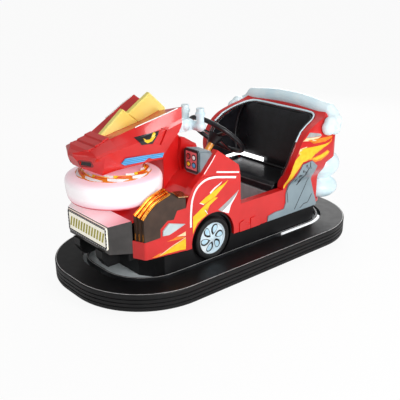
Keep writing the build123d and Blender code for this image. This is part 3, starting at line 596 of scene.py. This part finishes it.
def cheek_films(side, sign):
    """A bolt in yellow and orange with cream edges on the cheek."""
    host, red = nodes[f"cheek_{side}"], "red_gelcoat"
    film(f"cheek_bolt_{side}", [cheek_yellow], host, YELLOW_FILM, sign)
    film(f"cheek_bolt_edge_{side}", [stripe(cheek_border, 4), cheek_cream], host, CREAM_FILM, sign)
    film(f"cheek_bolt_orange_{side}", [cheek_band, cheek_orange], host, ORANGE_FILM, sign)


# ---- Head, claws and wheel -----------------------------------------------------------------------
eye_crescent = [
    (597, 873), (585, 864), (565, 864), (541, 894), (531, 893), (536, 873), (553, 853), (578, 845),
    (594, 856),
]
brow = [(616, 135, 923), (600, 138.5, 929), (490, 177.5, 968), (396, 204, 1000)]
nostril_turn = math.radians(30.6)  # of the recess in the snout's corner face from straight ahead
nostril_middle = Vector((884, 78, 772))  # of its mouth
nostril_depth = 12.6
nostril_floor = ((-30, -10), (28, -12), (30, 12), (-24, 12))  # corners across and up


def nostril(side, sign):
    """Painted shade in the recess in the snout: a black plate on its floor, and a dark red lip round its
    mouth.
    """
    across = Vector((-math.sin(nostril_turn), math.cos(nostril_turn), 0))
    out = Vector((math.cos(nostril_turn), math.sin(nostril_turn), 0))
    middle = nostril_middle - out * nostril_depth
    corners = [middle + across * a + Vector((0, 0, b)) for a, b in nostril_floor]
    corners = [(corner.x, sign * corner.y, corner.z) for corner in corners]
    outward = Vector((out.x, sign * out.y, 0))
    # Painted shade: a black plate on the recess floor.
    plate(f"nostril_painted_shade_{side}", corners, outward, EYE_BLACK, bevel=0.3)
    head = tree_of(nodes["dragon_head"])
    ring = []
    for a, b in rounded(69, 33, 9):
        ahead = nostril_middle + out * 60 + across * a + Vector((0, 0, b))
        spot, *_ = head.ray_cast(Vector((ahead.x, sign * ahead.y, ahead.z)) * MM, -outward)
        ring.append(spot / MM + outward * 0.4)
    # Painted shade: a dark red lip makes the recess's dark mouth look larger.
    lip = flat_section(7, 1.6)
    rod(f"nostril_painted_shade_lip_{side}", ring, lip, DARK_RED, up=outward, closed=True)


def head_trim(side, sign):
    """Nostril with painted shade, yellow crescent in the eye and white line along the brow."""
    nostril(side, sign)
    film(f"eye_crescent_{side}", [eye_crescent], nodes["eyes"], YELLOW_FILM, sign)
    mirror = [(x, sign * y, z) for x, y, z in brow]
    rod(f"brow_line_{side}", mirror, round_section(3), WHITE_FILM)


claw_plates, claw_front = 3, 724  # the outer plate's toe is that far forward
claw_step, claw_rise, claw_reach = 22, 7, 8  # inward, up and forward from one plate to the next


def claw_ribs(side, sign):
    """Gold bars along the top of each claw plate, a thin gold strip at each toe as a painted reflection,
    and a pale pad behind them.
    """
    for step in range(claw_plates):
        y = sign * (body_side_y - claw_step * (step + 0.5))
        x_front = claw_front + claw_reach * step
        top = [(x_front, 505), (690, 540), (640, 575), (553, 602)]
        path = [(x, y, z + claw_rise * step) for x, z in smooth_line(top, 4)]
        rod(f"claw_rib_{side}_{step + 1}", path, flat_section(claw_step - 4, 11), GOLD)
        # Painted reflection: a thin gold strip stands for the orange-gold glint at each plate's toe.
        toe = [(x_front + 0.5, y, 428), (x_front + 0.5, y, 390)]
        rod(f"claw_toe_{side}_{step + 1}", toe, flat_section(3, 2), GOLD, up=(1, 0, 0))
    y_in, y_out = sign * (body_side_y - 2), sign * (body_side_y - claw_plates * claw_step + 4)
    corners = [(500, y_in, 573), (436, y_in, 563), (436, y_out, 577), (500, y_out, 587)]
    plate(f"claw_pad_{side}", corners, (0, 0, 4), BRASS)


wheel_x, wheel_z = 262, 277  # centre of the side wheel
window = [(18, -4), (33, -17), (56, -22), (76, -11), (82, 9), (69, 21), (48, 17), (30, 7)]
window_middle, pane_share, pane_shift = (52, 1), 0.7, (2, 3)  # the pane is smaller and shifted
pane_lift = 0.7  # of the pale pane over the dark window


def round_wheel(points, turn):
    """Points of X and Z round the wheel's centre, turned about it."""
    c, s = math.cos(turn), math.sin(turn)
    return [(wheel_x + x * c + z * s, wheel_z + z * c - x * s) for x, z in points]


def wheel_trim(side, sign):
    """Dished rim with six dark-edged windows, a bead on the tyre and a centre cap."""
    low, high = (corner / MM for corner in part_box(f"side_rim_{side}"))
    face, back = (high.y, low.y) if sign > 0 else (-low.y, -high.y)
    depth = face - back
    dish = [
        (0, 0), (91, 0), (91.5, depth - 2), (89, depth), (86, depth - 1), (82, depth - 9),
        (24, depth - 5), (18, depth - 1), (0, depth - 1),
    ]
    outward = (0, sign, 0)
    rim_foot = (wheel_x, sign * back, wheel_z)
    rim = turned(f"wheel_rim_{side}", dish, rim_foot, outward, RIM)
    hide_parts(f"side_rim_{side}")
    turns = [math.radians(60 * blade + 12) for blade in range(6)]
    opening = smooth_line(window + window[:1], 3)[:-1]
    pane = [
        tuple(middle + (value - middle) * pane_share + shift
              for value, middle, shift in zip(point, window_middle, pane_shift))
        for point in opening
    ]
    openings = [round_wheel(opening, turn) for turn in turns]
    film(f"wheel_windows_{side}", openings, rim, BLACK_FILM, sign)
    openings = [round_wheel(pane, turn) for turn in turns]
    panes = film(f"wheel_panes_{side}", openings, rim, WINDOW_FILM, sign)
    panes.location.y += sign * pane_lift * MM
    tyre_face = abs(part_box(f"side_tyre_{side}")[1 if sign > 0 else 0].y) / MM
    bead = [(100, 0), (101, 1.6), (103, 1.6), (104, 0)]
    bead_foot = (wheel_x, sign * (tyre_face - 0.5), wheel_z)
    turned(f"tyre_bead_{side}", bead, bead_foot, outward, TYRE)
    cap = [(0, 4), (6, 3.6), (9, 2.4), (10, 0), (0, -1)]
    cap_foot = (wheel_x, sign * (face - 1), wheel_z)
    turned(f"wheel_cap_{side}", cap, cap_foot, outward, RIM, steps=32)


for side, sign in SIDES:
    fender_films(side, sign)
    quarter_films(side, sign)
    plate_lines(side, sign)
    cheek_films(side, sign)
    head_trim(side, sign)
    claw_ribs(side, sign)
    wheel_trim(side, sign)

# ---- Lamp and flames -----------------------------------------------------------------------------
lamp_low, lamp_high = (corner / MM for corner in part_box("lamp_drum"))
lamp_x = (lamp_low.x + lamp_high.x) / 2
lamp_radius = (lamp_high.y - lamp_low.y) / 2
lamp_flat = 166  # radius of its flat top
shoulder_slope = 0.39  # how far the shoulder falls for each unit of radius beyond that


def lamp_top(radius):
    """Height of the lamp's top or shoulder at that radius."""
    return lamp_high.z - max(0, radius - lamp_flat) * shoulder_slope


def opal_drum():
    """Drum with a bulging side and a sloped shoulder, and a pink rim under it."""
    low, high, r = lamp_low.z, lamp_high.z, lamp_radius - 6
    side = [
        (r - 24, low), (r - 12, low + 8), (r - 6, low + 28), (r - 1, low + 66), (r, low + 96),
        (r - 5, low + 113), (r - 18, low + 123), (r - 54, high - 14),
    ]
    profile = [(0, low), (r - 34, low)] + smooth_line(side, 5) + [(lamp_flat, high), (0, high)]
    foot, up = (lamp_x, 0, 0), (0, 0, 1)
    drum = turned("lamp_opal_drum", profile, foot, up, LAMP, steps=128, angle=50)
    ring = [(r - 26, low - 2), (r - 18, low - 2), (r - 14, low + 4), (r - 22, low + 4)]
    turned("lamp_lower_rim", ring + ring[:1], foot, up, PINK_FILM, steps=128)
    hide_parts("lamp_drum")


def flame_ring(name, count, radius, length, width, height, curl, start, material):
    """Ring of flame tongues on the lamp's shoulder, ridged along the middle and swept one way."""
    form, steps = bmesh.new(), 8
    for i in range(count):
        rows = []
        for step in range(steps + 1):
            share = step / steps
            turn = start + 2 * math.pi * i / count + share * length / radius
            out = radius + curl * share**1.6
            # Widest a little before the middle and pointed at the tip.
            half = width / 2 * math.sin(math.pi * (0.2 + 0.78 * share)) ** 0.9
            row = []
            for across, rise in ((-half, 0), (0, height * (1 - 0.6 * share)), (half, 0), (0, -3)):
                r = out + across
                spot = (lamp_x + r * math.cos(turn), r * math.sin(turn), lamp_top(r) + rise)
                row.append(form.verts.new(Vector(spot) * MM))
            rows.append(row)
        for one, two in zip(rows, rows[1:]):
            for j in range(4):
                form.faces.new((one[j], one[(j + 1) % 4], two[(j + 1) % 4], two[j]))
        form.faces.new(rows[0])
        form.faces.new(rows[-1])
    return piece(name, form, material)


# Each ring's name, count, radius, length, width, height, curl, start turn in radians and film.
flame_rings = (
    ("orange", 12, 178, 150, 40, 7, 8, 0.0, ORANGE_FILM),
    ("white", 9, 184, 105, 22, 12, 8, 0.13, WHITE_FILM),
    ("red", 9, 172, 110, 16, 13, 10, 0.42, FLAME_RED),
    ("yellow", 9, 162, 90, 20, 12, 6, 0.3, YELLOW_FILM),
    ("inner", 9, 156, 80, 14, 14, 8, 0.0, WHITE_FILM),
)
opal_drum()
for name, *shape in flame_rings:
    flames = flame_ring(f"flame_tongues_{name}", *shape)
    if name == "orange":
        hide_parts("flame_wreath")

# ---- Nose and number plate -----------------------------------------------------------------------
box_rear, box_front = 750, 850
box_half, box_taper = 262, 65  # half its width at the rear, and how much it narrows to the front
box_top_rear, box_top_front = 490, 462
bead_pitch, end_bead_pitch = 18.3, 18  # along the plate's long and short edges
bar_count, bar_pitch = 13, 26


def nose():
    """Lid over the nose box, carrying painted lamp light, and the number plate's beaded border and
    slanting bars.
    """
    corners = [
        (box_rear + 1, -box_half + 3, box_top_rear),
        (box_front - 1, -box_half + box_taper + 3, box_top_front),
        (box_front - 1, box_half - box_taper - 3, box_top_front),
        (box_rear + 1, box_half - 3, box_top_rear),
    ]
    plate("nose_lid", corners, (0.8, 0, 3), LID)
    low, high = (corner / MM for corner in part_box("number_plate"))
    middle, face = (low + high) / 2, high.x
    width, height = high.y - low.y, high.z - low.z
    frame_path = [(face, y, middle.z + z) for y, z in rounded(width - 14, height - 14, 7)]
    forward = (1, 0, 0)
    border = flat_section(13, 1.2)
    rod("plate_border", frame_path, border, BLACK_FILM, up=forward, closed=True)
    beads = bmesh.new()
    face_forward = Matrix.Rotation(math.pi / 2, 4, "Y")
    level, upright = Matrix.Diagonal((0.6, 1.5, 1, 1)), Matrix.Diagonal((1.5, 0.6, 1, 1))
    spots = []
    for sign in (-1, 1):
        spots += [(bead_pitch * i, sign * (height / 2 - 5), level) for i in range(-10, 11)]
        spots += [(sign * (width / 2 - 5), end_bead_pitch * i, upright) for i in range(-3, 4)]
    for y, z, stretch in spots:
        place = Matrix.Translation(Vector((face + 1.4, y, middle.z + z)) * MM) @ face_forward
        bmesh.ops.create_cone(
            beads, cap_ends=True, segments=12, radius1=3.6 * MM, radius2=2.6 * MM, depth=1.4 * MM,
            matrix=place @ stretch,
        )
    piece("plate_border_beads", beads, WHITE_CAP)
    for i in range(bar_count):
        y = bar_pitch * (i - bar_count // 2)
        bar = [(y - 16, -28), (y - 1, -28), (y + 16, 28), (y + 1, 28)]
        corners = [(face, across, middle.z + up) for across, up in bar]
        plate(f"plate_bar_{i + 1}", corners, (0.9, 0, 0), OLIVE_FILM, 0.3)


nose()

# ---- Control panel -------------------------------------------------------------------------------
case_y, case_width, case_front, case_back = 238, 124, 338, 224
case_low, case_high = 620, 782
panel_z = 718  # the middle of its printed face
# Each button's name, material, and place across and up from the middle of the face.
buttons = (
    ("white", WHITE_CAP, 22, 21), ("red", RED_CAP, -22, 21),
    ("blue", BLUE_CAP, 22, -21), ("yellow", YELLOW_FILM, -22, -21),
)


def control_panel():
    """Stoved case with rounded edges, a dark frame round its pink face, and four buttons."""
    side = [
        (case_front, case_low + 26), (case_front, case_high), (case_back + 16, case_high - 18),
        (case_back, case_high - 56), (case_back, case_low),
    ]
    corners = [(x, case_y - case_width / 2, z) for x, z in side]
    case = plate("control_case", corners, (0, case_width, 0), CASE_GREY, bevel=9)
    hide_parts("control_box")
    forward, face_depth = (1, 0, 0), 1.2
    frame_path = [(case_front, case_y + y, panel_z + z) for y, z in rounded(104, 112, 12)]
    bar = flat_section(14, 3)
    rod("control_frame", frame_path, bar, FRAME_STEEL, up=forward, closed=True)
    corners = ((-46, -50), (46, -50), (46, 50), (-46, 50))
    face = [(case_front, case_y + y, panel_z + z) for y, z in corners]
    plate("control_face", face, (face_depth, 0, 0), PINK_FILM, bevel=0.4)
    cap = [(0, 6), (7, 5.4), (11, 3), (12, 0), (0, -0.5)]
    collar = [(12, 0), (17, 0), (17, 1.6), (12, 2), (12, 0)]
    for name, material, y, z in buttons:
        spot = (case_front + face_depth, case_y + y, panel_z + z)
        turned(f"control_button_{name}", cap, spot, forward, material, steps=24)
        turned(f"control_collar_{name}", collar, spot, forward, EYE_BLACK, steps=24)


control_panel()

# ---- Trims ---------------------------------------------------------------------------------------
# X and Z of the tub's front edge, seen from the side.
tub_edge = [
    (-290, 432), (-280, 500), (-284, 568), (-310, 645), (-352, 710), (-412, 762), (-471, 788),
    (-550, 812), (-622, 838), (-652, 882),
]
# How far the tub's wall stands out from the body side, its height, and its lean in radians.
tub_flare = [
    (0, 436, -0.2), (38, 505, -0.45), (66, 575, -0.22), (74, 650, 0.0), (67, 724, 0.2),
    (44, 790, 0.5), (8, 843, 0.85), (-50, 873, 1.25), (-140, 880, 1.55), (-330, 880, math.pi / 2),
]


def edge_x(height):
    """How far forward the tub's front edge is at that height."""
    for (x0, z0), (x1, z1) in zip(tub_edge, tub_edge[1:]):
        if height <= z1:
            return x0 + (x1 - x0) * max(0, height - z0) / (z1 - z0)
    return tub_edge[-1][0]


def tub_trim(name, inset, proud, radius, material, lowest=500):
    """Bead round the tub's opening, that far inside its outer face and down to that height."""
    left = [
        (body_side_y + out - inset * math.cos(lean), z - inset * math.sin(lean))
        for out, z, lean in tub_flare if z >= lowest
    ]
    line = smooth_line([(y, z) for y, z in left] + [(-y, z) for y, z in left[-2::-1]], 6)
    path = [(edge_x(z) + proud, y, z) for y, z in line]
    rod(name, path, round_section(radius), material, up=(1, 0, 0))


def oval_highlight_line(name, node, corner, inset, width):
    """Painted highlight: a pale line round the top of an oval ring, that far inside its outer face."""
    low, high = (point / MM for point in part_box(node))
    length, breadth = high.x - low.x - 2 * inset, high.y - low.y - 2 * inset
    path = [(x, y, high.z) for x, y in rounded(length, breadth, corner - inset, 24)]
    rod(name, path, flat_section(width, 0.9), EDGE_PAINTED_HIGHLIGHT, closed=True)


rest_x, rest_z = -498, 440  # foot of the back rest's front face
rest_lean = 80 / 420  # how far it leans back for each unit of height
lining_inset = 59  # from the tub's outer face to the side lining's inner one


def seat_corners(side, sign):
    """Piping where the back rest meets the side lining."""
    path = []
    for z in range(486, 812, 20):
        out = next(
            o0 + (o1 - o0) * (z - z0) / (z1 - z0)
            for (o0, z0, _), (o1, z1, _) in zip(tub_flare, tub_flare[1:]) if z0 <= z <= z1
        )
        x = rest_x - rest_lean * (z - rest_z)
        path.append((x + 1, sign * (body_side_y + out - lining_inset), z))
    rod(f"seat_corner_piping_{side}", path, round_section(11, 10), VINYL, up=(1, 0, 0))


tub_trim("tub_trim_pale", 44, 2, 6.5, PALE_BLUE, lowest=724)
tub_trim("tub_trim_red", 42, 1, 5, DARK_RED)
tub_trim("tub_trim_dark", 54, -1, 5, GRIP)
# Painted highlights along the top edges of the bumper and the hoop.
oval_highlight_line("bumper_painted_highlight", "bumper_ring", 440, 7, 3.4)
oval_highlight_line("hoop_painted_highlight", "deck_hoop", 265, 1.2, 2)
for side, sign in SIDES:
    seat_corners(side, sign)

# ---- Clouds --------------------------------------------------------------------------------------


def cloud(name, node, cell, extra=None):
    """The node's form, with a roll added to it, melted into one rounded skin."""
    form = bmesh.new()
    form.from_mesh(nodes[node].data)
    if extra:
        form.from_mesh(extra.data)
        bpy.data.objects.remove(extra)
    item = piece(name, form, PALE_BLUE, angle=180)
    melt = item.modifiers.new("melt", "REMESH")
    melt.mode, melt.voxel_size, melt.use_smooth_shade = "VOXEL", cell * MM, True
    ease = item.modifiers.new("ease", "SMOOTH")
    ease.factor, ease.iterations = 0.5, 8
    baked = bpy.data.meshes.new_from_object(item.evaluated_get(bpy.context.evaluated_depsgraph_get()))
    item.modifiers.clear()
    item.data = baked
    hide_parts(node)


# A roll along the collar's top, with its middle higher than its ends.
roll_end = [(-682, 366, 786), (-680, 350, 830), (-674, 326, 856)]
roll_line = roll_end + [(-668, y, 885 - 26 * (y / 290) ** 2) for y in range(280, -281, -20)]
roll_line += [(x, -y, z) for x, y, z in reversed(roll_end)]
roll = rod("cloud_roll", roll_line, round_section(42, 24), PALE_BLUE)
cloud("cloud_collar_skin", "cloud_collar", 7, roll)
cloud("cloud_puffs_skin", "cloud_puffs", 8)

# ---- Seat ----------------------------------------------------------------------------------------


cloth_steps = 20


def cushion(name, node, cell, shrink, cap):
    """Upholstered pad: the node's form drawn in a little, then blown up as cloth, with no point
    moving further than the cap."""
    form = bmesh.new()
    form.from_mesh(nodes[node].data)
    item = piece(name, form, VINYL, angle=180)
    weave = item.modifiers.new("weave", "REMESH")
    weave.mode, weave.voxel_size, weave.use_smooth_shade = "VOXEL", cell * MM, True
    depsgraph = bpy.context.evaluated_depsgraph_get()
    baked = bpy.data.meshes.new_from_object(item.evaluated_get(depsgraph))
    item.modifiers.clear()
    item.data = baked
    normals = [vert.normal.copy() for vert in baked.vertices]
    for vert, normal in zip(baked.vertices, normals):
        vert.co -= normal * shrink * MM
    start = [vert.co.copy() for vert in baked.vertices]
    cloth = item.modifiers.new("cloth", "CLOTH")
    cloth.settings.use_pressure = True
    cloth.settings.uniform_pressure_force = 4
    cloth.settings.effector_weights.gravity = 0
    cloth.settings.quality = 4
    for step in range(1, cloth_steps + 1):
        bpy.context.scene.frame_set(step)
    swollen = item.evaluated_get(bpy.context.evaluated_depsgraph_get()).data
    ends = [vert.co.copy() for vert in swollen.vertices]
    item.modifiers.clear()
    bpy.context.scene.frame_set(1)
    for vert, before, after in zip(baked.vertices, start, ends):
        move = after - before
        vert.co = before + move * min(1, cap * MM / max(move.length, 1e-9))
    finer = item.modifiers.new("finer", "SUBSURF")
    finer.levels = finer.render_levels = 1
    depsgraph = bpy.context.evaluated_depsgraph_get()
    item.data = bpy.data.meshes.new_from_object(item.evaluated_get(depsgraph))
    item.modifiers.clear()
    item.data.shade_smooth()
    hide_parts(node)
    return item


def top_of(item, x, y):
    """Highest point of a piece over a place in millimetres."""
    spot, *_ = tree_of(item).ray_cast((x * MM, y * MM, 2), (0, 0, -1))
    return spot.z / MM


seat = cushion("seat_cushion_pad", "seat_cushion", 7, 4, 8)
cushion("seat_back_pad", "seat_back", 8, 4, 8)
for side, _ in SIDES:
    cushion(f"side_lining_pad_{side}", f"side_lining_{side}", 5, 0.5, 2)
seat_front_x = -272
# Piping on the cushion's front edge; its grey paints the highlight there.
path = [(seat_front_x, y, top_of(seat, seat_front_x, y)) for y in range(-255, 256, 15)]
rod("seat_piping", path, round_section(3.5, 8), PIPING_AND_HIGHLIGHT)
path = [(-503, -258, 474), (-503, 258, 474)]
rod("seat_back_piping", path, round_section(9, 10), VINYL)
# A painted highlight along the back rest's foot, and its return along the right lining: glowing strips
# with no lamp in them.
foot = [(-497, -262, 482), (-497, -36, 482), (-500, -36, 508), (-500, -262, 508)]
plate("seat_foot_painted_highlight", foot, (4, 0, 0), FOOT_PAINTED_HIGHLIGHT)
foot = [(-497, -262, 482), (-370, -262, 482), (-370, -262, 500), (-497, -262, 508)]
plate("seat_foot_painted_highlight_side", foot, (0, 4, 0), FOOT_PAINTED_HIGHLIGHT)

# ---- Floor, light and camera ---------------------------------------------------------------------


def studio():
    """White floor that keeps the car's shadow, and a surround that the camera sees as white."""
    bpy.ops.mesh.primitive_plane_add(size=60, location=(0, 0, -0.0005))
    floor = bpy.context.object
    floor.name = "floor"
    # Matt white paper. The camera sees a share of it as plain white, and the rest takes the shadow.
    material, tree, shader, _ = surface("paper_roll_white", "#f4f4f4", 0.9)
    ray = add(tree, "ShaderNodeLightPath")
    glow = add(tree, "ShaderNodeEmission", {"Color": linear("#ffffff"), "Strength": 1.0})
    plain_share = 0.93
    share = add(
        tree, "ShaderNodeMath", {"operation": "MULTIPLY", 1: plain_share},
        {0: ray.outputs["Is Camera Ray"]},
    )
    mix = add(
        tree, "ShaderNodeMixShader", {},
        {0: share.outputs["Value"], 1: shader.outputs["BSDF"], 2: glow.outputs["Emission"]},
    )
    tree.links.new(mix.outputs["Shader"], tree.nodes["Material Output"].inputs["Surface"])
    floor.data.materials.append(material)

    world = bpy.data.worlds.new("studio")
    world.use_nodes = True
    bpy.context.scene.world = world
    tree = world.node_tree
    back = tree.nodes["Background"]
    back.inputs["Color"].default_value = linear("#ffffff")
    # Full white to the camera, and a third of that as light on the car.
    ray = add(tree, "ShaderNodeLightPath")
    level = add(
        tree, "ShaderNodeMapRange", {"From Min": 0.0, "From Max": 1.0, "To Min": 0.34, "To Max": 1.0},
        {"Value": ray.outputs["Is Camera Ray"]},
    )
    tree.links.new(level.outputs["Result"], back.inputs["Strength"])

    # Each lamp's name, place, size in metres and power in watts.
    lamps = (
        ("key", (0.3, 4.4, 2.2), 2.2, 150), ("front", (4.6, 0.2, 1.6), 2.0, 16),
        ("top", (-0.4, 0.3, 4.6), 3.0, 22), ("back", (-3.8, -2.4, 2.2), 2.4, 50),
    )
    for name, place, size, power in lamps:
        light = bpy.data.lights.new(name, "AREA")
        light.size, light.energy = size, power
        lamp_object = bpy.data.objects.new(name, light)
        lamp_object.location = place
        aim = Vector((0, 0, 0.4)) - Vector(place)
        lamp_object.rotation_euler = aim.to_track_quat("-Z", "Y").to_euler()
        bpy.context.scene.collection.objects.link(lamp_object)


def camera():
    """Three-quarter view from the front left, looking down on the car."""
    turn, rise, distance = math.radians(48.75), math.radians(23.1), 4.0
    target = Vector((0, 0, 0.15))
    away = Vector((math.cos(turn) * math.cos(rise), math.sin(turn) * math.cos(rise), math.sin(rise)))
    data = bpy.data.cameras.new("camera")
    data.lens, data.sensor_width = 58.07, 36
    data.shift_x, data.shift_y = -0.0245, 0.0745
    eye = bpy.data.objects.new("camera", data)
    eye.location = target + away * distance
    eye.rotation_euler = away.to_track_quat("Z", "Y").to_euler()
    bpy.context.scene.collection.objects.link(eye)
    bpy.context.scene.camera = eye


studio()
camera()
bpy.context.scene.view_settings.view_transform = "Standard"
